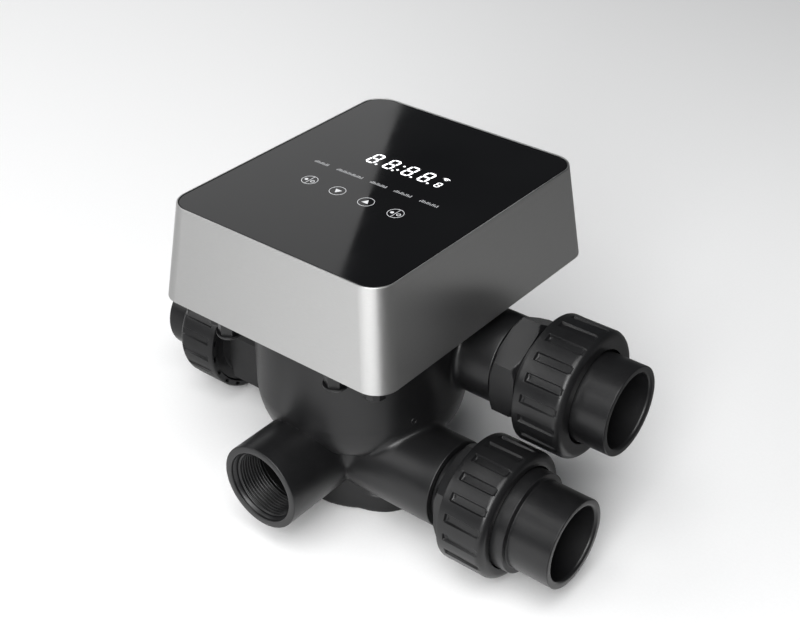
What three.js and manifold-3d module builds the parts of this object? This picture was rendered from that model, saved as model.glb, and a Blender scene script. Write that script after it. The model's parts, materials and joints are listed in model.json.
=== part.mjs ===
// Motor-driven multiport valve for a pool filter, in millimetres, +Z up.
// The origin is on the rotor's axis at the level that the base stands on.
// -Y is the front, where the key panel is read from.
import * as THREE from 'three';
import { mergeVertices } from 'three/addons/utils/BufferGeometryUtils.js';
import Module from 'manifold-3d';

const wasm = await Module();
wasm.setup();

// ---------------------------------------------------------------- dimensions
const GAP = 0.3;                 // clearance between pieces that touch
const TAU = Math.PI * 2;

// valve body
const TUBE_R = 30.5;             // outside of every port tube
const TUBE_BORE_R = 20;          // plain passage behind the threads
const THREAD_R = 23.9;           // G 1 1/2 female thread
const THREAD_DEPTH = 27;
const MOUTH_R = 25.4;            // countersunk mouth of a threaded port
const LOW_Z = 47.6;              // axis height of the four low ports
const LOW_SHIFT = 22.8;          // sideways shift of the left and right low ports
const HIGH_Z = 113.2;            // axis height of the pump port
const HIGH_Y = 37;
const RIGHT_END = 97;            // ends of the three tubes that take a union
const LEFT_END = 101;
const PUMP_END = 99.3;
const PORT_REACH = 105;          // mouth of the front and rear threaded ports
const PEDESTAL_R = 50;
const FOOT_R = 26;
const FOOT_X = 28.6;             // one foot here and its twin across the axis
const FOOT_Y = -11;
const FOOT_LIFT = 1.6;           // the feet stand this far below the pedestal
const FOOT_T = 14;
const BOWL_R = 71.9;
const BOWL_BORE_R = 65;
const CHAMBER_R = 45;
const CORE_R = 9;                // solid post in the middle of the chambers
const FLOOR_Z = 10;
const PLATE_Z = 84;              // underside of the port plate
const PLATE_TOP = 92;
const WINDOW_IN = 14;
const WINDOW_OUT = 42;
const WINDOW_HALF = 35;          // half angle of a window, degrees
const WALL_HALF = 3;             // half thickness of the chamber walls
const FLANGE_R = 82.5;
const FLANGE_Z = 148;
const FLANGE_TOP = 156;
const BOLT_CIRCLE = 90.2;
const BOLT_ANGLES = [60, 120, 150, 210, 240, 300];
const LOBE_R = 8.4;
const BOLT_LOW = 135;
const BOLT_TIP = 161;
const BOLT_R = 3;
const BOLT_HOLE_R = 3.4;

// rotor and shaft
const GASKET_Z = PLATE_TOP + GAP;
const GASKET_T = 2;
const ROTOR_Z = GASKET_Z + GASKET_T + GAP;
const ROTOR_T = 6;
const ROTOR_R = 60;
const HOOD_TOP = 118;
const HUB_R = 12.5;
const SHAFT_R = 7;
const SHAFT_BASE = 100;
const SHAFT_TOP = 197;
const RUNNING = 0.15;            // clearance of a turning shaft in its bore
const HUB_TOP = 116;
const PIN_Z = 110;
const PIN_R = 2;
const PIN_HALF = 11.8;
const COVER_Z = FLANGE_TOP + GAP;
const COVER_TOP = 163;
const SPIGOT_LOW = 141;
const SPIGOT_R = 64.6;
const BOSS_LOW = 138;
const BOSS_TOP = 168.5;
const BOSS_R = 15;
const GROOVE_R = 9.2;            // shaft seal grooves in the boss
const GROOVE_T = 3;
const GROOVES = [144, 151];

// union joints
const NUT_R = 43.7;
const NUT_LENGTH = 35;
const NUT_BORE_R = 38.6;
const NUT_LIP = 6;
const NUT_SLOTS = 19;
const STUB_R = 30.4;
const SOCKET_R = 25.2;           // bonds a 50 mm pipe
const SOCKET_DEPTH = 31;
const UNION_THREAD_R = 38.1;
const HEX_FLAT_R = 31.5;
const ENGAGED = 20;              // an adaptor's thread reaches this far into its tube
const TAIL_FLANGE = 8;
const SLOT_HALF = 2.6;
const SLOT_DEPTH = 1.2;

// control box
const BOX_Z = 153.1;
const BOX_TOP = 220.3;
const BOX_FRONT = -85.4;
const BOX_REAR = 121.6;
const BOX_HALF = 85.4;
const BOX_FLARE = 7.8;           // each wall leans out by this at the bottom edge
const BOX_CORNER = 16;
const SKIRT_T = 1.2;
const LEDGE = 4;                 // the ledge under the glass stands in by this
const GLASS_T = 3.2;
const TRAY_Z = 163.3;
const TRAY_T = 2.6;
const POST_X = 66;
const POST_FRONT = -66;
const POST_REAR = 98;
const POST_TIP = 130;
const POST_TOP = 205.7;
const SCREW_SEAT = 150;
const GLAND_X = -40;
const GLAND_Y = 106;
const GLAND_R = 7.9;
const GLAND_BORE_R = 4.4;

// gear train, module 1.5
const MODULE = 1.5;
const OUTPUT_TEETH = 48;
const IDLER_TEETH = 24;
const PINION_TEETH = 16;
const GEAR_Z = 172;
const GEAR_T = 8;
const BACKLASH = 0.22;           // taken from each flank of a tooth
const IDLER_ANGLE = 65;          // from +X, seen from above
const MOTOR_ANGLE = 130;         // of the pinion, seen from the idler
const BRACKET_Z = 184.8;
const BRACKET_T = 2;

// electronics
const DISPLAY_Z = 206;
const BOARD_T = 1.6;
const CONTROL_Z = 169;
const SENSOR_TOP = 190;

// ---------------------------------------------------------------- geometry helpers
const radians = (degrees) => degrees * Math.PI / 180;

function signedVolume(position, index) {
  const a = new THREE.Vector3();
  const b = new THREE.Vector3();
  const c = new THREE.Vector3();
  let volume = 0;
  for (let i = 0; i < index.length; i += 3) {
    a.fromBufferAttribute(position, index[i]);
    b.fromBufferAttribute(position, index[i + 1]);
    c.fromBufferAttribute(position, index[i + 2]);
    volume += a.dot(b.cross(c)) / 6;
  }
  return volume;
}

// A closed geometry with shared vertices, no collapsed triangles and its faces pointing out.
function closed(geometry) {
  const bare = new THREE.BufferGeometry();
  bare.setAttribute('position', geometry.getAttribute('position').clone());
  if (geometry.index) bare.setIndex(geometry.index.clone());
  const merged = mergeVertices(bare, 1e-4);
  const source = merged.index.array;
  const index = [];
  for (let i = 0; i < source.length; i += 3) {
    const [a, b, c] = [source[i], source[i + 1], source[i + 2]];
    if (a !== b && b !== c && c !== a) index.push(a, b, c);
  }
  if (signedVolume(merged.getAttribute('position'), index) < 0) {
    for (let i = 0; i < index.length; i += 3) [index[i], index[i + 1]] = [index[i + 1], index[i]];
  }
  merged.setIndex(index);
  return merged;
}

function toSolid(geometry) {
  const shape = closed(geometry);
  return new wasm.Manifold(new wasm.Mesh({
    numProp: 3,
    vertProperties: new Float32Array(shape.getAttribute('position').array),
    triVerts: new Uint32Array(shape.index.array),
  }));
}

function toGeometry(solid) {
  const mesh = solid.getMesh();
  const geometry = new THREE.BufferGeometry();
  geometry.setAttribute('position', new THREE.BufferAttribute(new Float32Array(mesh.vertProperties), 3));
  geometry.setIndex(Array.from(mesh.triVerts));
  return geometry;
}

// Joins the first list and cuts the second list from it; all are three.js geometries.
function carve(added, removed = []) {
  let solid = toSolid(added[0]);
  for (const geometry of added.slice(1)) solid = solid.add(toSolid(geometry));
  for (const geometry of removed) solid = solid.subtract(toSolid(geometry));
  return toGeometry(solid);
}

// A turned piece about Z: profile is a list of [radius, height], closed on itself or on the axis.
function turned(profile, segments = 32) {
  const onAxis = profile[0][0] === 0 && profile[profile.length - 1][0] === 0;
  const points = profile.map(([r, z]) => new THREE.Vector2(r, z));
  if (!onAxis) points.push(points[0].clone());
  return new THREE.LatheGeometry(points, segments).rotateX(Math.PI / 2);
}

function rod(radius, low, high, segments = 24) {
  return turned([[0, low], [radius, low], [radius, high], [0, high]], segments);
}

function ring(inner, outer, low, high, segments = 32) {
  return turned([[inner, low], [outer, low], [outer, high], [inner, high]], segments);
}

function block(x0, x1, y0, y1, z0, z1) {
  return new THREE.BoxGeometry(x1 - x0, y1 - y0, z1 - z0)
    .translate((x0 + x1) / 2, (y0 + y1) / 2, (z0 + z1) / 2);
}

function prism(points, low, high, holes = []) {
  const shape = new THREE.Shape(points.map(([x, y]) => new THREE.Vector2(x, y)));
  for (const hole of holes) shape.holes.push(new THREE.Path(hole.map(([x, y]) => new THREE.Vector2(x, y))));
  return new THREE.ExtrudeGeometry(shape, { depth: high - low, bevelEnabled: false }).translate(0, 0, low);
}

function circlePoints(radius, count, cx = 0, cy = 0, start = 0) {
  const points = [];
  for (let i = 0; i < count; i += 1) {
    const a = start + TAU * i / count;
    points.push([cx + radius * Math.cos(a), cy + radius * Math.sin(a)]);
  }
  return points;
}

function roundRect(x0, x1, y0, y1, radius, steps = 6) {
  const points = [];
  const corners = [[x1 - radius, y1 - radius], [x0 + radius, y1 - radius],
    [x0 + radius, y0 + radius], [x1 - radius, y0 + radius]];
  corners.forEach(([cx, cy], corner) => {
    for (let i = 0; i <= steps; i += 1) {
      const a = (corner + i / steps) * Math.PI / 2;
      points.push([cx + radius * Math.cos(a), cy + radius * Math.sin(a)]);
    }
  });
  return points;
}

// Skins a closed loop of outlines: each entry is [points, height], and the last one joins the first.
function skinned(outlines) {
  const count = outlines[0][0].length;
  const positions = outlines.flatMap(([points, z]) => points.flatMap(([x, y]) => [x, y, z]));
  const index = [];
  outlines.forEach((_, row) => {
    const next = (row + 1) % outlines.length;
    for (let i = 0; i < count; i += 1) {
      const j = (i + 1) % count;
      const [a, b, c, d] = [row * count + i, row * count + j, next * count + j, next * count + i];
      index.push(a, b, c, a, c, d);
    }
  });
  const geometry = new THREE.BufferGeometry();
  geometry.setAttribute('position', new THREE.Float32BufferAttribute(positions, 3));
  geometry.setIndex(index);
  return geometry;
}

function sectorPoints(inner, outer, from, to, steps) {
  const points = [];
  for (let i = 0; i <= steps; i += 1) {
    const a = radians(from + (to - from) * i / steps);
    points.push([outer * Math.cos(a), outer * Math.sin(a)]);
  }
  for (let i = steps; i >= 0; i -= 1) {
    const a = radians(from + (to - from) * i / steps);
    points.push([inner * Math.cos(a), inner * Math.sin(a)]);
  }
  return points;
}

// Turns a geometry built along +Z so that it runs along the named direction.
function aim(geometry, direction) {
  if (direction === '+x') return geometry.rotateY(Math.PI / 2);
  if (direction === '-x') return geometry.rotateY(-Math.PI / 2);
  if (direction === '+y') return geometry.rotateX(-Math.PI / 2);
  if (direction === '-y') return geometry.rotateX(Math.PI / 2);
  return geometry;
}

// ---------------------------------------------------------------- scene graph
const group = new THREE.Group();

const finishes = {
  black: { color: 0x1c1d1f, roughness: 0.5, metalness: 0.0 },
  rubber: { color: 0x101010, roughness: 0.85, metalness: 0.0 },
  white: { color: 0xd9d8d0, roughness: 0.55, metalness: 0.0 },
  steel: { color: 0xb8babd, roughness: 0.3, metalness: 1.0 },
  silver: { color: 0xb9bbbe, roughness: 0.32, metalness: 1.0 },
  glass: { color: 0x050506, roughness: 0.05, metalness: 0.0 },
  board: { color: 0x14532d, roughness: 0.5, metalness: 0.1 },
  gear: { color: 0xe6e2d2, roughness: 0.45, metalness: 0.0 },
  module: { color: 0x1b1b1e, roughness: 0.4, metalness: 0.0 },
};

function add(name, geometry, finish, parent = group) {
  const mesh = new THREE.Mesh(closed(geometry), new THREE.MeshStandardMaterial(finishes[finish]));
  mesh.name = name;
  parent.add(mesh);
  return mesh;
}

// ---------------------------------------------------------------- valve body
const lowPorts = [
  { name: 'front', direction: '-y', x: 0, y: 0, end: PORT_REACH },
  { name: 'rear', direction: '+y', x: 0, y: 0, end: PORT_REACH },
  { name: 'right', direction: '+x', x: 0, y: -LOW_SHIFT, end: RIGHT_END },
  { name: 'left', direction: '-x', x: 0, y: LOW_SHIFT, end: LEFT_END },
];
const pumpPort = { name: 'pump', direction: '+x', x: 0, y: HIGH_Y, end: PUMP_END };

function placed(geometry, port, z) {
  return aim(geometry, port.direction).translate(port.x, port.y, z);
}

// Passage of one port, from its threaded mouth to the depth where it meets its chamber.
function portBore(port, z, inner) {
  const mouth = port.end + 1;
  const thread = port.end - THREAD_DEPTH;
  return placed(turned([
    [0, inner], [TUBE_BORE_R, inner], [TUBE_BORE_R, thread - 4], [THREAD_R, thread],
    [THREAD_R, port.end - 3], [MOUTH_R, port.end - 1.2], [MOUTH_R, mouth], [0, mouth],
  ], 18), port, z);
}

const boltPlaces = BOLT_ANGLES.map((angle) => [
  BOLT_CIRCLE * Math.cos(radians(angle)), BOLT_CIRCLE * Math.sin(radians(angle)),
]);

// A round-ended tongue for one bolt, pointing along +X.
function tongue(low, high) {
  const outline = [[FLANGE_R - 12, -LOBE_R]];
  for (let i = 0; i <= 4; i += 1) {
    const a = (i / 4 - 0.5) * Math.PI;
    outline.push([BOLT_CIRCLE + LOBE_R * Math.cos(a), LOBE_R * Math.sin(a)]);
  }
  outline.push([FLANGE_R - 12, LOBE_R]);
  return prism(outline, low, high);
}

function flangePlate(low, high) {
  return [
    rod(FLANGE_R, low, high, 32),
    ...BOLT_ANGLES.map((angle) => tongue(low, high).rotateZ(radians(angle))),
  ];
}

function boltHoles(radius, low, high) {
  return boltPlaces.map(([x, y]) => rod(radius, low, high, 8).translate(x, y, 0));
}

function valveBody() {
  const shell = turned([
    [0, FOOT_LIFT], [PEDESTAL_R - 1, FOOT_LIFT], [PEDESTAL_R, FOOT_LIFT + 1],
    [PEDESTAL_R, 60], [61, 60], [66.5, 65.5], [70.2, 73], [BOWL_R, 84],
    [BOWL_R, FLANGE_TOP], [0, FLANGE_TOP],
  ], 32);
  const feet = [1, -1].map((side) => rod(FOOT_R, 0, FOOT_T, 20)
    .translate(FOOT_X * side, FOOT_Y * side, 0));
  feet.push(rod(FOOT_R / 2, 0, FOOT_T, 16));
  const tubes = lowPorts.map((port) => placed(rod(TUBE_R, 0, port.end, 20), port, LOW_Z));
  const pumpTube = placed(rod(TUBE_R, 0, pumpPort.end, 20), pumpPort, HIGH_Z);

  const chamber = rod(CHAMBER_R, FLOOR_Z, PLATE_Z, 24);
  const walls = [45, 135].map((angle) => block(-60, 60, -WALL_HALF, WALL_HALF, FLOOR_Z - 1, PLATE_Z + 1)
    .rotateZ(radians(angle)));
  const core = rod(CORE_R, FLOOR_Z - 1, PLATE_Z + 1, 12);
  const rooms = toSolid(chamber)
    .subtract(toSolid(walls[0])).subtract(toSolid(walls[1])).subtract(toSolid(core));
  const window = sectorPoints(WINDOW_IN, WINDOW_OUT, -WINDOW_HALF, WINDOW_HALF, 3);
  const windows = [0, 90, 180, 270].map((angle) => prism(window, PLATE_Z - 1, PLATE_TOP + 1)
    .rotateZ(radians(angle)));

  let solid = toSolid(shell);
  for (const piece of [...feet, ...tubes, pumpTube, ...flangePlate(FLANGE_Z, FLANGE_TOP)]) {
    solid = solid.add(toSolid(piece));
  }
  solid = solid.subtract(toSolid(rod(BOWL_BORE_R, PLATE_TOP, FLANGE_TOP + 1, 32)));
  solid = solid.subtract(rooms);
  const inner = { front: 30, rear: 30, right: 38, left: 38 };
  const cuts = [
    ...windows,
    ...lowPorts.map((port) => portBore(port, LOW_Z, inner[port.name])),
    portBore(pumpPort, HIGH_Z, 40),
    ...boltHoles(BOLT_HOLE_R, FLANGE_Z - 1, FLANGE_TOP + 1),
  ];
  for (const cut of cuts) solid = solid.subtract(toSolid(cut));
  add('valve_body', toGeometry(solid), 'black');
}

function cover() {
  const plate = flangePlate(COVER_Z, COVER_TOP);
  const groove = SPIGOT_LOW + 5;
  const spigot = turned([
    [0, SPIGOT_LOW], [SPIGOT_R - 1.4, SPIGOT_LOW], [SPIGOT_R, SPIGOT_LOW + 1.4],
    [SPIGOT_R, groove], [SPIGOT_R - 2.6, groove], [SPIGOT_R - 2.6, groove + 3.6], [SPIGOT_R, groove + 3.6],
    [SPIGOT_R, COVER_Z + 1], [0, COVER_Z + 1],
  ], 32);
  const boss = rod(BOSS_R, BOSS_LOW, BOSS_TOP, 20);
  const recess = ring(BOSS_R + 2, 56, SPIGOT_LOW - 1, 152, 20);
  const fit = SHAFT_R + RUNNING;
  const bore = turned([
    [0, BOSS_LOW - 1], [fit, BOSS_LOW - 1],
    ...GROOVES.flatMap((z) => [[fit, z], [GROOVE_R, z], [GROOVE_R, z + GROOVE_T], [fit, z + GROOVE_T]]),
    [fit, BOSS_TOP + 1], [0, BOSS_TOP + 1],
  ], 20);
  const holes = boltHoles(BOLT_HOLE_R, COVER_Z - 1, BOLT_TIP + 0.5);
  add('valve_cover', carve([...plate, spigot, boss], [recess, bore, ...holes]), 'black');
}

function torus(ringRadius, tubeRadius, z, segments = 16, sides = 5) {
  return new THREE.TorusGeometry(ringRadius, tubeRadius, sides, segments).translate(0, 0, z);
}

function seals() {
  add('cover_o_ring', torus(63.3, 0.9, 147.8, 32), 'rubber');
  ['lower', 'upper'].forEach((place, i) => {
    add(`shaft_o_ring_${place}`, torus(8.2, 0.75, GROOVES[i] + GROOVE_T / 2, 14), 'rubber');
  });
  const web = [45, 135].map((angle) => block(-50, 50, -2.4, 2.4, GASKET_Z, GASKET_Z + GASKET_T)
    .rotateZ(radians(angle)));
  add('spider_gasket', carve([
    ring(44.5, 52, GASKET_Z, GASKET_Z + GASKET_T, 24), rod(12, GASKET_Z, GASKET_Z + GASKET_T, 12), ...web,
  ]), 'rubber');
}

// Each bolt hangs below the flange: hexagon, round collar, and a shank up into the cover.
function coverBolts() {
  boltPlaces.forEach(([x, y], i) => {
    const bolt = carve([
      prism(circlePoints(7.2, 6), BOLT_LOW + 1, FLANGE_Z - GAP),
      turned([
        [0, BOLT_LOW], [7, BOLT_LOW], [8.2, BOLT_LOW + 1], [8.2, BOLT_LOW + 2.2], [0, BOLT_LOW + 2.2],
      ], 12),
      rod(BOLT_R, FLANGE_Z - 1, BOLT_TIP, 8),
    ]);
    const mesh = add(`cover_bolt_${i + 1}`, bolt, 'black');
    mesh.position.set(x, y, 0);
  });
}

// ---------------------------------------------------------------- rotor
function pinHole() {
  return aim(rod(PIN_R + GAP, -20, 20, 10), '+x').translate(0, 0, PIN_Z);
}

function rotor() {
  const top = ROTOR_Z + ROTOR_T;
  const disc = turned([
    [0, ROTOR_Z], [ROTOR_R - 0.8, ROTOR_Z], [ROTOR_R, ROTOR_Z + 0.8], [ROTOR_R, top], [0, top],
  ], 32);
  const hood = prism(sectorPoints(12, 46, 50, 220, 9), top - 1, HOOD_TOP);
  const hollow = prism(sectorPoints(16, WINDOW_OUT, 56, 214, 9), ROTOR_Z - 1, HOOD_TOP - 4);
  const window = prism(sectorPoints(16, WINDOW_OUT, -WINDOW_HALF, WINDOW_HALF, 3), ROTOR_Z - 1, top + 1);
  const shaftHole = rod(SHAFT_R + GAP, SHAFT_BASE - GAP, HUB_TOP + 1, 20);
  const hub = rod(HUB_R, ROTOR_Z + 1, HUB_TOP, 16);
  add('rotor', carve([carve([disc, hood], [hollow]), hub], [window, shaftHole, pinHole()]), 'white');
}

function shaft() {
  const flat = block(5.4, 9, -9, 9, GEAR_Z - 1, SHAFT_TOP + 1);
  const body = turned([
    [0, SHAFT_BASE], [SHAFT_R, SHAFT_BASE], [SHAFT_R, SHAFT_TOP - 1], [SHAFT_R - 1, SHAFT_TOP],
    [0, SHAFT_TOP],
  ], 20);
  add('rotor_shaft', carve([body], [flat, pinHole()]), 'steel');
  add('drive_pin', aim(rod(PIN_R, -PIN_HALF, PIN_HALF, 12), '+x').translate(0, 0, PIN_Z), 'steel');
}

function helix(radius, pitch, turns, start) {
  const points = [];
  const steps = turns * 12;
  for (let i = 0; i <= steps; i += 1) {
    const a = TAU * i / 12;
    points.push(new THREE.Vector3(radius * Math.cos(a), radius * Math.sin(a), start + pitch * i / 12));
  }
  return new THREE.CatmullRomCurve3(points);
}

function rotorSpring() {
  const wire = new THREE.Shape(circlePoints(1.2, 5).map(([x, y]) => new THREE.Vector2(x, y)));
  const path = helix(9.4, 3.9, 4, 117.6);
  add('rotor_spring', new THREE.ExtrudeGeometry(wire, { steps: 46, extrudePath: path, bevelEnabled: false }),
    'steel');
  add('spring_washer', ring(SHAFT_R + RUNNING + 0.2, 12, 135.4, 136.6, 16), 'steel');
}

// ---------------------------------------------------------------- gear train
function gearOutline(teeth, phase = 0) {
  const pitchR = MODULE * teeth / 2;
  const tipR = pitchR + 0.85 * MODULE;
  const rootR = pitchR - 1.15 * MODULE;
  const step = TAU / teeth;
  const half = step / 4 - BACKLASH / pitchR;
  const taper = 0.42 * MODULE / pitchR;
  const points = [];
  for (let i = 0; i < teeth; i += 1) {
    const a = phase + i * step;
    points.push([rootR, a - half - taper], [tipR, a - half + taper], [tipR, a + half - taper],
      [rootR, a + half + taper]);
  }
  return points.map(([r, a]) => [r * Math.cos(a), r * Math.sin(a)]);
}

const idlerDistance = MODULE * (OUTPUT_TEETH + IDLER_TEETH) / 2;
const pinionDistance = MODULE * (IDLER_TEETH + PINION_TEETH) / 2;
const idlerX = idlerDistance * Math.cos(radians(IDLER_ANGLE));
const idlerY = idlerDistance * Math.sin(radians(IDLER_ANGLE));
const motorX = idlerX + pinionDistance * Math.cos(radians(MOTOR_ANGLE));
const motorY = idlerY + pinionDistance * Math.sin(radians(MOTOR_ANGLE));

// Phase that puts a gap of the second gear on the line towards the first gear's tooth.
function meshPhase(teeth, towards) {
  return radians(towards) + Math.PI / teeth;
}

function gears() {
  const outputPhase = radians(IDLER_ANGLE);
  add('output_gear', prism(gearOutline(OUTPUT_TEETH, outputPhase), GEAR_Z, GEAR_Z + GEAR_T,
    [circlePoints(SHAFT_R + GAP, 20)]), 'gear');

  const idlerPhase = meshPhase(IDLER_TEETH, IDLER_ANGLE + 180);
  const idler = add('idler_gear', prism(gearOutline(IDLER_TEETH, idlerPhase), GEAR_Z, GEAR_Z + GEAR_T,
    [circlePoints(4.1, 16)]), 'gear');
  idler.position.set(idlerX, idlerY, 0);

  // A tooth of the idler that lies nearest the motor sets the phase of the pinion.
  const toMotor = radians(MOTOR_ANGLE);
  const idlerStep = TAU / IDLER_TEETH;
  const offset = (((toMotor - idlerPhase) % idlerStep) + idlerStep) % idlerStep;
  const pinionPhase = toMotor + Math.PI + Math.PI / PINION_TEETH
    + offset * IDLER_TEETH / PINION_TEETH;
  const pinion = add('motor_pinion', prism(gearOutline(PINION_TEETH, pinionPhase), GEAR_Z, GEAR_Z + GEAR_T,
    [circlePoints(3.3, 14)]), 'steel');
  pinion.position.set(motorX, motorY, 0);

  const pin = add('idler_pin', turned([
    [0, 166.2], [6, 166.2], [6, 171.2], [4, 171.2], [4, 184.4], [0, 184.4],
  ], 16), 'steel');
  pin.position.set(idlerX, idlerY, 0);

  const disc = turned([
    [SHAFT_R + GAP, 182], [24, 182], [24, 184], [12, 184], [12, 188], [SHAFT_R + GAP, 188],
  ], 20);
  add('position_disc', carve([disc], [block(17, 26, -2, 2, 181, 185)]), 'module');
}

function motor() {
  const x0 = Math.min(idlerX, motorX) - 20;
  const x1 = Math.max(idlerX, motorX) + 20;
  const y0 = Math.min(idlerY, motorY) - 13;
  const y1 = Math.max(idlerY, motorY) + 26;
  const top = BRACKET_Z + BRACKET_T;
  const plate = prism(roundRect(x0, x1, y0, y1, 5, 3), BRACKET_Z, top);
  const legs = [[x0 + 4.5, y1 - 4.5], [x1 - 4.5, y1 - 4.5]]
    .map(([x, y]) => rod(4, TRAY_Z + TRAY_T + GAP, BRACKET_Z + 1, 12).translate(x, y, 0));
  add('motor_bracket', carve([plate, ...legs], [
    rod(5, BRACKET_Z - 1, top + 1, 16).translate(motorX, motorY, 0),
    rod(4.4, BRACKET_Z - 1, top + 1, 16).translate(idlerX, idlerY, 0),
  ]), 'steel');
  const can = add('gear_motor', carve([
    rod(18.4, top + GAP, 203, 20),
    rod(15, 202, 214, 16),
    block(-13, 13, -21.5, 21.5, top + GAP, top + 3.2),
  ]), 'module');
  can.position.set(motorX, motorY, 0);
  const spindle = add('motor_shaft', rod(3, GEAR_Z - 2, top, 14), 'steel');
  spindle.position.set(motorX, motorY, 0);
}

// ---------------------------------------------------------------- unions
// Heights are distances from the valve's axis along the port.
const unionStyles = {
  short: { hexFrom: 6, hexTo: 15.6, nutFrom: 17, lip: 35.2, collar: 34.3, collarTo: 61, mouth: 91.5 },
  long: { hexFrom: 1.7, hexTo: 19.7, nutFrom: 26.7, lip: 32, collar: STUB_R, collarTo: 56, mouth: 86.1 },
};

function adaptor(port, style, frame) {
  const e = port.end;
  const face = e + style.nutFrom + NUT_LENGTH - NUT_LIP - TAIL_FLANGE - 2 * GAP;
  const threadFrom = Math.max(e + style.nutFrom + 1.2, e + style.hexTo);
  const neck = e + style.hexFrom + 1;
  const outer = turned([
    [18, e - ENGAGED], [23.4, e - ENGAGED], [23.4, e + GAP], [26.4, e + GAP], [26.4, neck], [30.8, neck],
    [30.8, threadFrom], [UNION_THREAD_R, threadFrom], [UNION_THREAD_R, face],
    [33.6, face], [33.6, face - 3], [28.4, face - 3], [28.4, face], [18, face],
  ], 18);
  const corner = HEX_FLAT_R / Math.cos(Math.PI / 6);
  const hex = toSolid(prism(circlePoints(corner, 6), e + style.hexFrom, e + style.hexTo))
    .intersect(toSolid(turned([
      [0, e + style.hexFrom], [33.4, e + style.hexFrom], [35.4, e + style.hexFrom + 2],
      [35.4, e + style.hexTo - 2], [33.4, e + style.hexTo], [0, e + style.hexTo],
    ], 18)));
  add(`${port.name}_adaptor`, carve([outer, toGeometry(hex)], [rod(18, e - 30, e + 60, 18)]), 'black', frame);
  add(`${port.name}_union_seal`, torus(31, 1.4, face - 1.5, 20), 'rubber', frame);
  return face;
}

function tailpiece(port, style, face, frame) {
  const e = port.end;
  const flange = face + GAP;
  const flangeTo = flange + TAIL_FLANGE;
  const mouth = e + style.mouth;
  add(`${port.name}_tailpiece`, turned([
    [20, flange], [37.6, flange], [37.6, flangeTo], [style.collar, flangeTo],
    [style.collar, e + style.collarTo - 1], [style.collar - 0.8, e + style.collarTo],
    [STUB_R, e + style.collarTo], [STUB_R, mouth - 0.8], [STUB_R - 0.8, mouth],
    [SOCKET_R + 1.4, mouth], [SOCKET_R, mouth - 1.4], [SOCKET_R, mouth - SOCKET_DEPTH],
    [21.5, mouth - SOCKET_DEPTH], [20, mouth - SOCKET_DEPTH - 3],
  ], 20), 'black', frame);
}

function unionNut(port, style, frame) {
  const low = port.end + style.nutFrom;
  const high = low + NUT_LENGTH;
  const shell = turned([
    [NUT_BORE_R, low], [NUT_R, low], [NUT_R, high - 4.5],
    [NUT_R - 1.4, high - 1.6], [NUT_R - 4.6, high], [style.lip, high], [style.lip, high - NUT_LIP],
    [NUT_BORE_R, high - NUT_LIP],
  ], NUT_SLOTS * 2);
  let solid = toSolid(shell);
  for (let i = 0; i < NUT_SLOTS; i += 1) {
    const slot = block(NUT_R - SLOT_DEPTH, NUT_R + 2, -SLOT_HALF, SLOT_HALF, low + 5.5, high - 2.5);
    solid = solid.subtract(toSolid(slot.rotateZ(TAU * (i + 0.5) / NUT_SLOTS)));
  }
  add(`${port.name}_union_nut`, toGeometry(solid), 'black', frame);
}

function union(port, z, style) {
  const frame = new THREE.Group();
  frame.position.set(port.x, port.y, z);
  frame.rotation.y = port.direction === '+x' ? Math.PI / 2 : -Math.PI / 2;
  group.add(frame);
  const face = adaptor(port, style, frame);
  tailpiece(port, style, face, frame);
  unionNut(port, style, frame);
}

// ---------------------------------------------------------------- control box
// Outline of the box's outer wall at a height, drawn in by an inset.
function boxOutline(z, inset, corner = BOX_CORNER) {
  const flare = BOX_FLARE * (BOX_TOP - z) / (BOX_TOP - BOX_Z) - inset;
  return roundRect(-BOX_HALF - flare, BOX_HALF + flare, BOX_FRONT - flare, BOX_REAR + flare,
    Math.max(corner - inset, 1), 4);
}

function skirtAndGlass() {
  const ledge = BOX_TOP - GLASS_T - 1.7;
  add('metal_skirt', skinned([
    [boxOutline(BOX_Z, 0), BOX_Z],
    [boxOutline(BOX_TOP - 0.8, 0), BOX_TOP - 0.8],
    [boxOutline(BOX_TOP, 0.5), BOX_TOP],
    [boxOutline(BOX_TOP, SKIRT_T), BOX_TOP],
    [boxOutline(ledge, SKIRT_T), ledge],
    [boxOutline(ledge, SKIRT_T + LEDGE), ledge],
    [boxOutline(ledge - 2, SKIRT_T + LEDGE), ledge - 2],
    [boxOutline(ledge - LEDGE, SKIRT_T), ledge - LEDGE],
    [boxOutline(BOX_Z, SKIRT_T), BOX_Z],
  ]), 'silver');

  const outer = boxOutline(BOX_TOP, SKIRT_T + 0.8);
  const inner = boxOutline(BOX_TOP, SKIRT_T + LEDGE - 0.6);
  add('panel_gasket', skinned([
    [outer, ledge + GAP], [outer, ledge + 1.2], [inner, ledge + 1.2], [inner, ledge + GAP],
  ]), 'rubber');

  const sunk = BOX_TOP - 0.2;
  add('glass_panel', prism(boxOutline(BOX_TOP, SKIRT_T + GAP), sunk - GLASS_T, sunk), 'glass');
}

const postPlaces = [-POST_X, POST_X].flatMap((x) => [[x, POST_FRONT], [x, POST_REAR]]);

// A post reaches down to the cover and up under the display, with a sunk hole for its screw.
function post() {
  return [
    turned([
      [0, POST_TIP], [7, POST_TIP], [8.2, POST_TIP + 1.4], [8.6, TRAY_Z + 1], [0, TRAY_Z + 1],
    ], 12),
    rod(5, TRAY_Z + 1, POST_TOP, 10),
  ];
}

function postHoles() {
  return [rod(1.9, POST_TIP - 1, 200, 8), rod(4.2, POST_TIP - 1, SCREW_SEAT, 8)];
}

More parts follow.
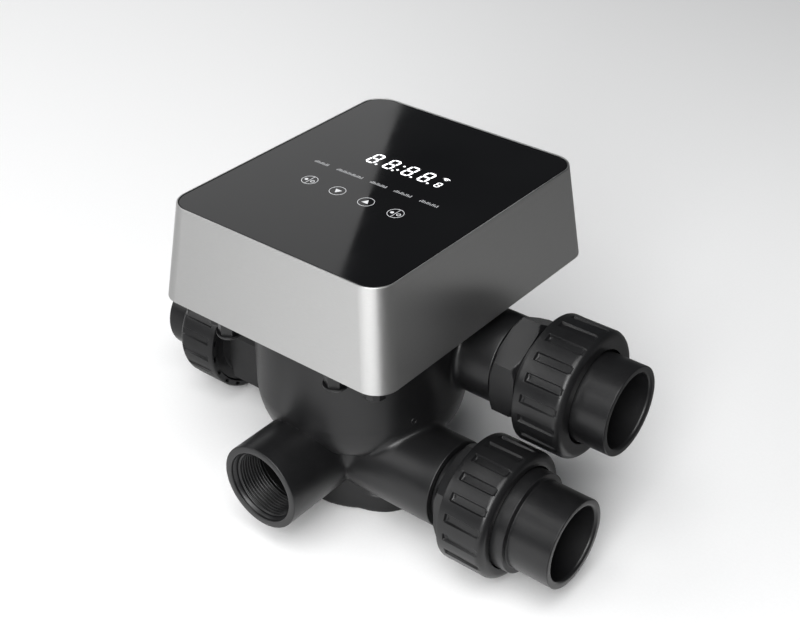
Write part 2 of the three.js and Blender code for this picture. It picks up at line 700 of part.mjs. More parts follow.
function tray() {
  const floor = boxOutline(TRAY_Z, SKIRT_T + 0.5);
  const rim = TRAY_Z + 10;
  const wall = skinned([
    [floor, TRAY_Z + 0.5],
    [boxOutline(rim, SKIRT_T + 0.5), rim],
    [boxOutline(rim, SKIRT_T + 2.5), rim],
    [boxOutline(TRAY_Z, SKIRT_T + 2.5), TRAY_Z + 0.5],
  ]);
  const posts = postPlaces.flatMap(([x, y]) => post().map((piece) => piece.translate(x, y, 0)));
  const holes = postPlaces.flatMap(([x, y]) => postHoles().map((hole) => hole.translate(x, y, 0)));
  const through = [TRAY_Z - 1, TRAY_Z + TRAY_T + 1];
  add('base_tray', carve([prism(floor, TRAY_Z, TRAY_Z + TRAY_T), wall, ...posts], [
    rod(BOSS_R + 0.6, ...through, 20),
    rod(GLAND_R + 0.4, ...through, 16).translate(GLAND_X, GLAND_Y, 0),
    ...holes,
  ]), 'black');
}

function trayScrews() {
  const seat = SCREW_SEAT - GAP;
  postPlaces.forEach(([x, y], i) => {
    const screw = add(`tray_screw_${i + 1}`, turned([
      [0, seat - 3.3], [3.6, seat - 3.3], [3.6, seat], [1.6, seat], [1.6, 190], [0, 190],
    ], 8), 'steel');
    screw.position.set(x, y, 0);
  });
}

function electronics() {
  const display = roundRect(-58, 58, -20, 52.5, 3, 2);
  add('display_board', prism(display, DISPLAY_Z, DISPLAY_Z + BOARD_T), 'board');
  add('led_display', block(-31, 31, 31, 52, DISPLAY_Z + BOARD_T + GAP, BOX_TOP - GLASS_T - 2.5), 'module');

  const controlTop = CONTROL_Z + BOARD_T;
  add('control_board', prism(roundRect(-80, -42, -58, 58, 3, 2), CONTROL_Z, controlTop), 'board');
  add('power_supply', carve([
    block(-76, -48, -54, -16, controlTop + GAP, 197),
    block(-74, -50, -52, -18, 196, 199),
  ]), 'module');

  const sensor = add('position_sensor', carve([
    block(16, 48, -6, 6, 180.8, SENSOR_TOP),
    block(41, 48, -6, 6, TRAY_Z + TRAY_T + GAP, SENSOR_TOP),
  ], [block(14, 28, -7, 7, 181.5, 184.6)]), 'module');
  sensor.rotation.z = radians(-60);
}

function cableGland() {
  const seat = TRAY_Z - GAP;
  const body = add('gland_body', carve([
    prism(circlePoints(12, 6), seat - 5, seat),
    rod(GLAND_R, 146, TRAY_Z + 10, 20),
  ], [rod(GLAND_BORE_R, 140, 180, 16)]), 'black');
  body.position.set(GLAND_X, GLAND_Y, 0);
  const cap = add('gland_cap', turned([
    [GLAND_BORE_R, 139], [8.6, 139], [10.6, 142], [10.6, 157.4], [8.2, 157.4], [8.2, 145.6],
    [GLAND_BORE_R, 145.6],
  ], 20), 'black');
  cap.position.set(GLAND_X, GLAND_Y, 0);
}

// ---------------------------------------------------------------- assembly
valveBody();
cover();
seals();
coverBolts();
rotor();
shaft();
rotorSpring();
gears();
motor();
union(lowPorts[2], LOW_Z, unionStyles.short);
union(lowPorts[3], LOW_Z, unionStyles.long);
union(pumpPort, HIGH_Z, unionStyles.long);
skirtAndGlass();
tray();
trayScrews();
electronics();
cableGland();

export default group;
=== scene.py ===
import json
import math

import bmesh
import bpy
import numpy as np
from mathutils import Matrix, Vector


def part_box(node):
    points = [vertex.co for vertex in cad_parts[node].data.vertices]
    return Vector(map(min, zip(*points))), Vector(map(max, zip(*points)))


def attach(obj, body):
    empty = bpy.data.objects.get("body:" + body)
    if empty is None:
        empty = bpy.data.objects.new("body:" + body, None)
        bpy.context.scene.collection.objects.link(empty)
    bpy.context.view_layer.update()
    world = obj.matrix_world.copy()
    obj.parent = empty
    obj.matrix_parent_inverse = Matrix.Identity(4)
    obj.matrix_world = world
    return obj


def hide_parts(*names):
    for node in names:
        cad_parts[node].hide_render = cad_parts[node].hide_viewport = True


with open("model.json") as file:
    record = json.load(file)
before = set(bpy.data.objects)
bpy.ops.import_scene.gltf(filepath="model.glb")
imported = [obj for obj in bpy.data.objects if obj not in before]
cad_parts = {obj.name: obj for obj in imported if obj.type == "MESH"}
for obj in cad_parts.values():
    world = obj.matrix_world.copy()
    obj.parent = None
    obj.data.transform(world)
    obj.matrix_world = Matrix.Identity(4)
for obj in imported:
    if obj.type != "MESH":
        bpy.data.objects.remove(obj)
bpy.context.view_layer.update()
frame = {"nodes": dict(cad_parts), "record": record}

# Shapes are worked out in millimetres in the valve's own frame, and make() turns them into metres:
# +Z up, the origin on the rotor's axis, -Y the front, where the key panel is read from.
MM = 0.001
TAU = 2 * math.pi
X, Y, Z = np.eye(3)


def extent(node):
    """Lowest and highest corner of a CAD node, in millimetres."""
    low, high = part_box(node)
    return np.array(low) / MM, np.array(high) / MM


def middle(node):
    low, high = extent(node)
    return (low + high) / 2


# ---------- sizes
BODY_LOW, BODY_HIGH = extent("valve_body")
SKIRT_LOW, SKIRT_HIGH = extent("metal_skirt")
LOW_Z = middle("right_union_nut")[2]  # axis height of the four low ports
LOW_SHIFT = middle("left_union_nut")[1]  # the side ports are shifted apart by this each way
HIGH_Y, HIGH_Z = middle("pump_union_nut")[1:]
ENGAGED = 20  # an adaptor's thread reaches this far into its tube

TUBE_R = 30.5
BORE_R = 20.0
BORES_FROM = {"long": 30.0, "side": 38.0, "pump": 40.0}  # distance from the valve's axis
THREAD_R = 23.9
THREAD_DEPTH = 1.45
THREAD_PITCH = 2.31
THREAD_END = 78.5  # distance from the valve's axis
MOUTH_R = 25.4
PEDESTAL_R = 50.0
PEDESTAL_TOP = 57.0
SHOULDER = [(64.6, 60.0), (70.6, 64.5)]  # the bowl's lower edge and its curve's middle point
BOWL_R = 71.9
BOWL_FROM = 82.0  # the bowl's wall is upright above this height
FOOT_R = 26.0
FOOT_AT = (28.6, -11.0)
FOOT_TOP = 14.0
FOOT_EDGE = 1.2
CENTRE_FOOT = (13.0, 1.0)  # radius and edge of the foot in the middle
FOOT_LIFT = 1.6
FOOT_BLEND = 5.0  # widths of the soft joins
TUBE_BLEND = 16.0
BOWL_BLEND = 5.0
CREASE_BLEND = 0.05
VALLEY_RISE = 16.0  # the join of two tubes gets to its full width over this
BESIDE = (46.0, 58.0)  # and the bowl's join with them between these widths
BOWL_BORE_R = 65.0
CORE_R = 9.0
CHAMBER_R = 45.0
CHAMBER_FLOOR = 10.0
PLATE = (84.0, 92.0)
WINDOW_R = (14.0, 42.0)
WINDOW_TURN = math.radians(35)  # half of what a window spans
WALL_HALF = 3.0
FLANGE_R = 82.5
FLANGE_Z = 148.0
BOLT_CIRCLE = 90.2
BOLT_ANGLES = (60, 120, 150, 210, 240, 300)
TONGUE_R = 8.4
BOLT_R = 3.0
BOLT_FLAT_R = 6.24
BOLT_HEX_R = 7.19
BOLT_COLLAR_R = 8.2
COLLAR_LONG = 2.4
RING_MARK = (-22.6, 87.6)  # degrees round the bowl, and height

STEP = 1.5  # grid of the moulding's surface
REACH = 76.5  # the grid ends here, and turned rings carry the tubes on
LAYERS = 99  # grid cells in height, up to just below the flange
TUBE_COUNT = 128  # points round a tube's end

NUT_R = 43.7
NUT_LONG = 35.0
NUT_ROUND = 5.2
NUT_BORE_R = 38.6
NUT_LIP = 6.0
LIP_R = {"right": 35.2, "left": 32.0, "pump": 32.0}
SLOTS = 19
SLOT_HALF = 2.7
SLOT_DEPTH = 1.7
SLOT_FADE = 0.6  # share of the depth that is left at a slot's front
SLOT_WALL = 0.9
SLOT_PHASES = {"right": 106.3, "left": 110.0, "pump": 110.0}  # degrees, from the port's side
NOTCH_DEPTH = 0.5
POCKET_ROWS = (4, 5)  # rings of the nut's profile that carry the rear pockets
POCKET_HALF = 2.1
POCKET_DEPTH = 2.4

ADAPTOR_BORE_R = 18.0
SPIGOT_R = 23.2
NECK_R = 26.4
HEXES = {"right": (6.0, 15.6), "left": (-12.0, 19.7), "pump": (1.7, 19.7)}  # from the tube's end
HEX_FLAT_R = 31.5
HEX_FACE_R = 32.2
HEX_CHAMFER = (33.2, 2.4)  # starts at this radius and is this long
RELIEF_R = 30.8
UNION_THREAD_R = 38.1
SEAL_FACE = 8.6  # behind the nut's lip
GROOVE_R = (28.4, 33.6)
GROOVE_DEPTH = 3.0

TAIL_FLANGE_R = 37.6
TAIL_FLANGE = 8.0
COLLAR_R = 34.3
COLLAR_END = 61.0  # from the tube's end, on the right union only
STUB_R = 30.4
SOCKET_R = 25.2
SOCKET_DEPTH = 31.0

BOX_FLARE = 7.8
BOX_CORNER = 16.0
SKIRT_T = 1.2
LEDGE = 4.0
GLASS_T = 3.2
GLASS_GAP = 0.3


# ---------- mesh helpers
def make(name, vertices, faces, material, smooth=32, flat_faces=True):
    """A mesh object from millimetres, smooth except at edges sharper than smooth degrees."""
    mesh = bpy.data.meshes.new(name)
    mesh.from_pydata((np.asarray(vertices) * MM).tolist(), [], faces)
    mesh.update()
    mesh.shade_smooth()
    mesh.set_sharp_from_angle(angle=math.radians(smooth))
    mesh.materials.append(material)
    piece = bpy.data.objects.new(name, mesh)
    bpy.context.scene.collection.objects.link(piece)
    if flat_faces:
        weighted = piece.modifiers.new("flat_faces", "WEIGHTED_NORMAL")
        weighted.keep_sharp = True
    return piece


def ring_faces(count, rows, closed):
    """Quads of a tube of rings, one ring to the next, and the last to the first when it is closed."""
    here = np.arange(count)
    there = np.roll(here, -1)
    faces = []
    for row in range(rows if closed else rows - 1):
        low, high = row * count, (row + 1) % rows * count
        faces += np.stack([low + here, low + there, high + there, high + here], 1).tolist()
    return faces


def soften(points, radius, steps=3, closed=True):
    """Rounds each corner of an outline of (r, along) points; open outlines keep their two ends."""
    points = [np.array(p, float) for p in points]
    out = []
    for i, p in enumerate(points):
        if not closed and i in (0, len(points) - 1):
            out.append(p)
            continue
        before, after = points[i - 1] - p, points[(i + 1) % len(points)] - p
        cut = min(radius, 0.45 * np.linalg.norm(before), 0.45 * np.linalg.norm(after))
        start = p + before / np.linalg.norm(before) * cut
        end = p + after / np.linalg.norm(after) * cut
        for k in range(steps + 1):
            t = k / steps
            out.append(start * (1 - t) ** 2 + p * 2 * t * (1 - t) + end * t ** 2)
    return out


def outward(vertices, faces):
    """The faces, all flipped when they enclose a negative volume."""
    volume = 0.0
    for face in faces:
        a = vertices[face[0]]
        for i in range(1, len(face) - 1):
            volume += np.dot(a, np.cross(vertices[face[i]], vertices[face[i + 1]]))
    return faces if volume > 0 else [face[::-1] for face in faces]


def skinned(rings, closed):
    """Vertices and faces over a stack of rings: a closed band, or a solid with two flat ends."""
    count = len(rings[0])
    faces = ring_faces(count, len(rings), closed)
    if not closed:
        last = (len(rings) - 1) * count
        faces.append(list(range(count))[::-1])
        faces.append([last + i for i in range(count)])
    vertices = np.concatenate(rings)
    return vertices, outward(vertices, faces)


class Axis:
    """A line that turned pieces are built round: angles run from side towards up."""

    def __init__(self, centre, direction, side):
        self.centre = np.array(centre, float)
        self.direction = direction
        self.side = side
        self.up = np.cross(direction, side)

    def ring(self, radius, along, angles):
        radius = np.broadcast_to(radius, angles.shape)[:, None]
        round_it = np.cos(angles)[:, None] * self.side + np.sin(angles)[:, None] * self.up
        return self.centre + self.direction * along + radius * round_it

    def angle(self, points):
        offset = points - self.centre
        return np.arctan2(offset @ self.up, offset @ self.side) % TAU


def upright(x, y):
    """A vertical axis, its angles counted from +X."""
    return Axis((x, y, 0), Z, X)


def even(count):
    """Angles evenly round a full turn."""
    return np.arange(count) * TAU / count


def turned(name, axis, profile, material, angles=None, radius=None, closed=True, smooth=32):
    """A turned piece: profile is (r, along) points, and radius(r, along, angles) may shape each ring."""
    angles = even(96) if angles is None else angles
    rings = []
    for r, along in profile:
        shaped = r if radius is None else radius(r, along, angles)
        rings.append(axis.ring(shaped, along, angles))
    vertices, faces = skinned(rings, closed)
    return make(name, vertices, faces, material, smooth)


# ---------- materials
def shader(name, **values):
    material = bpy.data.materials.new(name)
    material.use_nodes = True
    principled = material.node_tree.nodes["Principled BSDF"]
    for socket, value in values.items():
        principled.inputs[socket.replace("_", " ")].default_value = value
    return material, material.node_tree.nodes, material.node_tree.links, principled


def texture(nodes, links, kind, scale, stretch=(1, 1, 1), **values):
    """A procedural texture in object space; scale is features to the metre."""
    place = nodes.new("ShaderNodeTexCoord")
    mapping = nodes.new("ShaderNodeMapping")
    mapping.inputs["Scale"].default_value = stretch
    links.new(place.outputs["Object"], mapping.inputs["Vector"])
    node = nodes.new(kind)
    links.new(mapping.outputs["Vector"], node.inputs["Vector"])
    node.inputs["Scale"].default_value = scale
    for socket, value in values.items():
        node.inputs[socket].default_value = value
    return node


def spread(nodes, links, source, low, high):
    """Maps the middle part of a texture's values to a range of numbers or of colours."""
    start, stop = 0.3, 0.7
    if isinstance(low, tuple):
        ramp = nodes.new("ShaderNodeValToRGB")
        ramp.color_ramp.elements[0].position = start
        ramp.color_ramp.elements[0].color = (*low, 1)
        ramp.color_ramp.elements[1].position = stop
        ramp.color_ramp.elements[1].color = (*high, 1)
        links.new(source, ramp.inputs["Fac"])
        return ramp.outputs["Color"]
    span = nodes.new("ShaderNodeMapRange")
    for socket, value in (("From Min", start), ("From Max", stop), ("To Min", low), ("To Max", high)):
        span.inputs[socket].default_value = value
    links.new(source, span.inputs["Value"])
    return span.outputs["Result"]


def bump(nodes, links, principled, source, strength, distance, below=None):
    node = nodes.new("ShaderNodeBump")
    node.inputs["Strength"].default_value = strength
    node.inputs["Distance"].default_value = distance
    links.new(source, node.inputs["Height"])
    if below is not None:
        links.new(below, node.inputs["Normal"])
    links.new(node.outputs["Normal"], principled.inputs["Normal"])
    return node.outputs["Normal"]


def moulded(name, dark, light, roughness, grain=1400, gloss=0.5):
    """Moulded plastic: cloudy colour, fine grain in the surface, and soft flow waves."""
    material, nodes, links, principled = shader(name, IOR=1.46, Specular_IOR_Level=gloss)
    cloud = texture(nodes, links, "ShaderNodeTexNoise", 45, Detail=4.0)
    links.new(spread(nodes, links, cloud.outputs["Fac"], dark, light), principled.inputs["Base Color"])
    fine = texture(nodes, links, "ShaderNodeTexNoise", grain, Detail=2.0)
    low, high = roughness
    links.new(spread(nodes, links, fine.outputs["Fac"], low, high), principled.inputs["Roughness"])
    wave = texture(nodes, links, "ShaderNodeTexNoise", 28, Detail=1.0)
    soft = bump(nodes, links, principled, wave.outputs["Fac"], 0.25, 0.0006)
    bump(nodes, links, principled, fine.outputs["Fac"], 0.5, 0.00005, soft)
    return material


def metal(name, dark, light, roughness, brushed=0.0):
    """Metal with fine level lines; brushed sets how one-sided its gloss is."""
    material, nodes, links, principled = shader(name, Metallic=1.0, Anisotropic=brushed)
    lines = texture(nodes, links, "ShaderNodeTexNoise", 300, (1, 1, 60), Detail=5.0)
    links.new(spread(nodes, links, lines.outputs["Fac"], dark, light), principled.inputs["Base Color"])
    low, high = roughness
    links.new(spread(nodes, links, lines.outputs["Fac"], low, high), principled.inputs["Roughness"])
    bump(nodes, links, principled, lines.outputs["Fac"], 0.25, 0.00002)
    if brushed:
        tangent = nodes.new("ShaderNodeTangent")
        tangent.direction_type = "RADIAL"
        tangent.axis = "Z"
        links.new(tangent.outputs["Tangent"], principled.inputs["Tangent"])
    return material


def black_glass():
    """Polished glass over black print, with a trace of haze where it has been wiped."""
    material, nodes, links, principled = shader("black_glass", IOR=1.5)
    depth = texture(nodes, links, "ShaderNodeTexNoise", 9, Detail=2.0)
    colour = spread(nodes, links, depth.outputs["Fac"], (0.0025, 0.0025, 0.003), (0.005, 0.005, 0.0055))
    links.new(colour, principled.inputs["Base Color"])
    haze = texture(nodes, links, "ShaderNodeTexNoise", 30, (1, 0.2, 1), Detail=3.0)
    links.new(spread(nodes, links, haze.outputs["Fac"], 0.03, 0.075), principled.inputs["Roughness"])
    return material


def paper(name, shade):
    """Even, dull card with a very fine fibre pattern."""
    material, nodes, links, principled = shader(name, Roughness=0.9, Specular_IOR_Level=0.1)
    fibre = texture(nodes, links, "ShaderNodeTexNoise", 500, Detail=2.0)
    colour = spread(nodes, links, fibre.outputs["Fac"], (shade * 0.99,) * 3, (shade * 1.01,) * 3)
    links.new(colour, principled.inputs["Base Color"])
    return material


def circuit_board():
    """Green solder mask with a faint grid of tracks."""
    material, nodes, links, principled = shader("circuit_green", IOR=1.5, Roughness=0.35)
    tracks = texture(nodes, links, "ShaderNodeTexBrick", 260)
    tracks.inputs["Color1"].default_value = (0.012, 0.12, 0.04, 1)
    tracks.inputs["Color2"].default_value = (0.016, 0.15, 0.05, 1)
    tracks.inputs["Mortar"].default_value = (0.03, 0.24, 0.09, 1)
    links.new(tracks.outputs["Color"], principled.inputs["Base Color"])
    bump(nodes, links, principled, tracks.outputs["Fac"], 0.3, 0.00004)
    return material


def lit_print(name, dark, light, glow):
    """White print lit from behind, a little uneven over its area."""
    material, nodes, links, principled = shader(name, Roughness=0.5, Emission_Strength=glow)
    uneven = texture(nodes, links, "ShaderNodeTexNoise", 400, Detail=1.0)
    colour = spread(nodes, links, uneven.outputs["Fac"], dark, light)
    links.new(colour, principled.inputs["Emission Color"])
    links.new(colour, principled.inputs["Base Color"])
    return material


MATERIALS = {
    "body_black": moulded("body_black", (0.006, 0.006, 0.0065), (0.009, 0.009, 0.0095), (0.31, 0.39)),
    "fitting_black": moulded("fitting_black", (0.006, 0.006, 0.0065), (0.01, 0.01, 0.0105), (0.28, 0.37),
                             1100),
    "rubber_black": moulded("rubber_black", (0.01, 0.01, 0.01), (0.016, 0.016, 0.016), (0.7, 0.85)),
    "rotor_white": moulded("rotor_white", (0.62, 0.6, 0.53), (0.7, 0.68, 0.61), (0.45, 0.6)),
    "gear_nylon": moulded("gear_nylon", (0.7, 0.68, 0.58), (0.78, 0.76, 0.66), (0.35, 0.5)),
    "module_black": moulded("module_black", (0.015, 0.015, 0.017), (0.025, 0.025, 0.028), (0.3, 0.45), 900),
    "steel": metal("steel", (0.5, 0.5, 0.5), (0.62, 0.62, 0.61), (0.22, 0.36)),
    "silver_metal": metal("silver_metal", (0.57, 0.57, 0.565), (0.63, 0.63, 0.625), (0.3, 0.36), 0.75),
    "black_glass": black_glass(),
    "circuit_green": circuit_board(),
}
# Painted shade: a near-black, dull material that darkens the chambers and bores as if shade filled them.
BORE_PAINTED_SHADE = moulded("bore_painted_shade", (0.001, 0.001, 0.001), (0.002, 0.002, 0.002), (0.8, 0.9), gloss=0.08)
PRINT = lit_print("key_print", (0.5, 0.51, 0.52), (0.62, 0.62, 0.64), 0.45)
DIGITS = lit_print("digit_light", (0.95, 0.97, 1.0), (1.0, 1.0, 1.0), 1.1)


def dress_cad_nodes():
    """Gives every CAD node its slot's material and smooth shading over its facets."""
    for part in frame["record"]["subparts"]:
        node = frame["nodes"][part["node"]]
        node.data.materials.clear()
        node.data.materials.append(MATERIALS[part["material_slot"]])
        node.data.shade_smooth()
        node.data.set_sharp_from_angle(angle=math.radians(30))


def finish_piece(piece, body, slot, *nodes):
    """Puts a piece on the body it rides on and hides the CAD nodes it stands for; the slot argument is not
    used.
    """
    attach(piece, body)
    if nodes:
        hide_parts(*nodes)


# ---------- ports
class Port(Axis):
    """A tube's axis, with the distance from the valve's axis at which the tube ends."""

    def __init__(self, name, centre, direction, end):
        super().__init__(centre, direction, np.cross(Z, direction))
        self.name = name
        self.end = end


PORTS = [
    Port("front", (0, 0, LOW_Z), -Y, -BODY_LOW[1]),
    Port("rear", (0, 0, LOW_Z), Y, BODY_HIGH[1]),
    Port("right", (0, -LOW_SHIFT, LOW_Z), X, extent("right_adaptor")[0][0] + ENGAGED),
    Port("left", (0, LOW_SHIFT, LOW_Z), -X, -extent("left_adaptor")[1][0] + ENGAGED),
    Port("pump", (0, HIGH_Y, HIGH_Z), X, extent("pump_adaptor")[0][0] + ENGAGED),
]


# ---------- valve body: the moulding's shape
def smooth_union(a, b, width):
    """Joins two solids, given as signed distances, with a soft corner."""
    h = np.clip(0.5 + 0.5 * (b - a) / width, 0, 1)
    return b + (a - b) * h - width * h * (1 - h)


def rounded_disc(rho, z, radius, height, edge):
    """Distance to a short cylinder that stands on the floor and has rounded rims."""
    out = rho - (radius - edge)
    over = np.abs(z - height / 2) - (height / 2 - edge)
    return np.minimum(np.maximum(out, over), 0) + np.hypot(np.maximum(out, 0), np.maximum(over, 0)) - edge


def outline_distance(rho, z, outline):
    """Signed distance in the (rho, z) plane to a closed outline, negative inside."""
    nearest = np.full(rho.shape, np.inf)
    inside = np.zeros(rho.shape, bool)
    for (ax, az), (bx, bz) in zip(outline, outline[1:] + outline[:1]):
        ex, ez = bx - ax, bz - az
        t = np.clip(((rho - ax) * ex + (z - az) * ez) / (ex * ex + ez * ez), 0, 1)
        nearest = np.minimum(nearest, np.hypot(rho - ax - t * ex, z - az - t * ez))
        if az != bz:
            crosses = (az > z) != (bz > z)
            inside ^= crosses & (rho < ax + (z - az) * ex / ez)
    return np.where(inside, -nearest, nearest)


def shell_outline():
    """Half section of the pedestal and bowl, from the axis out; the grid ends below its top."""
    start, bend, end = np.array(SHOULDER + [(BOWL_R, BOWL_FROM)])
    curve = [tuple(start * (1 - t) ** 2 + bend * 2 * t * (1 - t) + end * t ** 2)
             for t in np.linspace(0, 1, 9)]
    under = SHOULDER[0][1]
    foot = [(PEDESTAL_R - 1.5, FOOT_LIFT), (PEDESTAL_R - 0.4, FOOT_LIFT + 0.4),
            (PEDESTAL_R, FOOT_LIFT + 1.5)]
    step = [(PEDESTAL_R, PEDESTAL_TOP), (PEDESTAL_R + 0.9, under - 0.9), (PEDESTAL_R + 3, under)]
    above = BODY_HIGH[2]
    return [(-1.0, FOOT_LIFT)] + foot + step + curve + [(BOWL_R, above), (-1.0, above)]


SHELL = shell_outline()


def outer_distance(x, y, z, rho):
    """The bowl and pedestal, the five tubes, and three feet, cut off at the floor."""
    shell = outline_distance(rho, z, SHELL)
    low_z = z - LOW_Z
    long_tube = np.hypot(x, low_z) - TUBE_R
    right = np.maximum(np.hypot(y + LOW_SHIFT, low_z) - TUBE_R, -x)
    left = np.maximum(np.hypot(y - LOW_SHIFT, low_z) - TUBE_R, x)
    pump = np.maximum(np.hypot(y - HIGH_Y, z - HIGH_Z) - TUBE_R, -x)
    valley = np.interp(low_z, (0, VALLEY_RISE), (1, TUBE_BLEND))
    tubes = smooth_union(smooth_union(long_tube, right, valley), left, valley)
    beside = np.interp(np.abs(x), BESIDE, (CREASE_BLEND, BOWL_BLEND))
    body = smooth_union(shell, tubes, beside)
    body = smooth_union(body, pump, BOWL_BLEND)
    for side in (1, -1):
        away = np.hypot(x - FOOT_AT[0] * side, y - FOOT_AT[1] * side)
        body = smooth_union(body, rounded_disc(away, z, FOOT_R, FOOT_TOP, FOOT_EDGE), FOOT_BLEND)
    body = np.minimum(body, rounded_disc(rho, z, CENTRE_FOOT[0], FOOT_TOP, CENTRE_FOOT[1]))
    return np.maximum(body, -z)


def cavity_distance(x, y, z, rho):
    """The water's space: four chambers, a window above each, the bowl and the five bores."""
    walls = np.minimum(np.abs(x + y), np.abs(x - y)) / math.sqrt(2) - WALL_HALF
    chambers = np.maximum(np.maximum(rho - CHAMBER_R, CORE_R - rho), -walls)
    chambers = np.maximum(chambers, np.maximum(CHAMBER_FLOOR - z, z - PLATE[0]))
    turn = np.abs((np.arctan2(y, x) + TAU / 8) % (TAU / 4) - TAU / 8)
    sides = rho * np.sin(turn - WINDOW_TURN)
    windows = np.maximum(np.maximum(rho - WINDOW_R[1], WINDOW_R[0] - rho), sides)
    windows = np.maximum(windows, np.abs(z - sum(PLATE) / 2) - 6)
    bowl = np.maximum(rho - BOWL_BORE_R, PLATE[1] - z)
    space = np.minimum(np.minimum(chambers, windows), bowl)
    low_z = z - LOW_Z
    for aside, up, short in ((x, low_z, BORES_FROM["long"] - np.abs(y)),
                             (y + LOW_SHIFT, low_z, BORES_FROM["side"] - x),
                             (y - LOW_SHIFT, low_z, BORES_FROM["side"] + x),
                             (y - HIGH_Y, z - HIGH_Z, BORES_FROM["pump"] - x)):
        space = np.minimum(space, np.maximum(np.hypot(aside, up) - BORE_R, short))
    return space


def body_distance(points):
    """The moulding: what the outside holds less the water's space."""
    x, y, z = points.T
    rho = np.hypot(x, y)
    return np.maximum(outer_distance(x, y, z, rho), -cavity_distance(x, y, z, rho))


def gradient(distance, points):
    """Unit vectors that point where the distance grows fastest."""
    reach = 0.02
    parts = [distance(points + reach * axis) - distance(points - reach * axis) for axis in (X, Y, Z)]
    slope = np.stack(parts, 1)
    return slope / np.maximum(np.linalg.norm(slope, axis=1, keepdims=True), 1e-9)


def crossed_edges(distance, low, step, cells):
    """For each grid edge the surface crosses: the crossing point, its four cells, and its sign."""
    lines = [low[a] + step * np.arange(cells[a] + 1) for a in range(3)]
    grid = np.stack(np.meshgrid(*lines, indexing="ij"), -1)
    values = distance(grid.reshape(-1, 3)).reshape(grid.shape[:3])
    found = []
    for axis in range(3):
        lower = np.take(values, range(cells[axis]), axis)
        upper = np.take(values, range(1, cells[axis] + 1), axis)
        index = np.argwhere((lower < 0) != (upper < 0))
        a, b = lower[tuple(index.T)], upper[tuple(index.T)]
        point = low + step * index.astype(float)
        point[:, axis] += step * a / (a - b)
        u, v = (axis + 1) % 3, (axis + 2) % 3
        around = np.repeat(index[:, None], 4, 1)
        around[:, :, u] += np.array([-1, 0, 0, -1])
        around[:, :, v] += np.array([-1, -1, 0, 0])
        around[b < 0] = around[b < 0][:, ::-1]
        found.append((point, around))
    return np.concatenate([f[0] for f in found]), np.concatenate([f[1] for f in found])


def contour(distance, low, step, cells):
    """Dual contouring: one vertex in each crossed cell, on the crease where surfaces meet."""
    low, cells = np.array(low), np.array(cells)
    points, around = crossed_edges(distance, low, step, cells)
    normals = gradient(distance, points)
    valid = ((around >= 0) & (around < cells)).all(-1)
    ids = (around * [cells[1] * cells[2], cells[2], 1]).sum(-1)
    used, slot = np.unique(ids[valid], return_inverse=True)
    edge = np.repeat(np.arange(len(points)), 4).reshape(-1, 4)[valid]

    def gather(values):
        return np.bincount(slot, values[edge], len(used))

    count = gather(np.ones(len(points)))
    mass = np.stack([gather(points[:, a]) for a in range(3)], 1) / count[:, None]
    matrix = np.empty((len(used), 3, 3))
    for a in range(3):
        for b in range(3):
            matrix[:, a, b] = gather(normals[:, a] * normals[:, b])
    along = (normals * points).sum(1)
    target = np.stack([gather(normals[:, a] * along) for a in range(3)], 1)
    target -= (matrix @ mass[:, :, None])[:, :, 0]
    held_back = 0.04 * np.eye(3)            # keeps vertices of flat cells near the middle
    shift = np.linalg.solve(matrix + held_back, target[:, :, None])[:, :, 0]
    corner = np.stack(np.unravel_index(used, cells), 1) * step + low
    vertices = np.clip(mass + shift, corner - 0.1 * step, corner + 1.1 * step)
    for _ in range(2):
        move = distance(vertices)[:, None] * gradient(distance, vertices)
        vertices -= np.clip(move, -0.3 * step, 0.3 * step)
    whole = valid.all(1)
    return vertices, np.searchsorted(used, ids[whole])


def open_loops(quads):
    """Closed chains of vertices along the edges that have a face on one side only."""
    edges = np.sort(np.stack([quads, np.roll(quads, -1, 1)], -1).reshape(-1, 2), 1)
    edges, counts = np.unique(edges, axis=0, return_counts=True)
    beside = {}
    for a, b in edges[counts == 1].tolist():
        beside.setdefault(a, []).append(b)
        beside.setdefault(b, []).append(a)
    loops = []
    while beside:
        chain = [next(iter(beside))]
        while chain[-1] in beside:
            ways = [v for v in beside.pop(chain[-1]) if v in beside]
            if not ways:
                break
            chain.append(ways[0])
        loops.append(chain)
    return loops


def zipped(axis, vertices, loop, ring):
    """Triangles between a loop and a ring, both lists of vertex numbers round the same axis."""
    sides = []
    for chain in (loop, ring):
        angle = axis.angle(vertices[chain])
        order = np.argsort(angle)
        sides.append((np.array(chain)[order], np.append(angle[order], angle[order[0]] + TAU)))
    (a, angle_a), (b, angle_b) = sides
    i = j = 0
    triangles = []
    while i < len(a) or j < len(b):
        if j == len(b) or (i < len(a) and angle_a[i + 1] <= angle_b[j + 1]):
            triangles.append([int(a[i % len(a)]), int(a[(i + 1) % len(a)]), int(b[j % len(b)])])
            i += 1
        else:
            triangles.append([int(a[i % len(a)]), int(b[(j + 1) % len(b)]), int(b[j % len(b)])])
            j += 1
    return triangles


def thread_radius(port):
    """Shapes a bore's rings into thread ridges, which fade out at both ends."""
    start, stop = THREAD_END + 1, port.end - 3.2

    def radius(r, along, angles):
        if not start < along < stop:
            return np.full(angles.shape, r)
        fade = min(1.0, (along - start) / THREAD_PITCH, (stop - along) / THREAD_PITCH)
        wave = 0.5 - 0.5 * np.cos(TAU * along / THREAD_PITCH - angles)
        return r - THREAD_DEPTH * fade * np.clip(1.25 * wave - 0.1, 0, 1)
    return radius


def port_profile(port, threaded):
    """From the tube's outside, over the mouth, and down the bore."""
    outer = soften([
        (TUBE_R, REACH + 1.2), (TUBE_R, port.end), (MOUTH_R, port.end), (MOUTH_R, port.end - 1.4),
        (THREAD_R, port.end - 3),
    ], 0.8, 3, closed=False)
    rows = np.linspace(port.end - 3.3, THREAD_END + 0.8, 75 if threaded else 4)
    bore = [(THREAD_R, along) for along in rows]
    return outer + bore + [(THREAD_R, THREAD_END), (BORE_R, REACH + 1.2)]


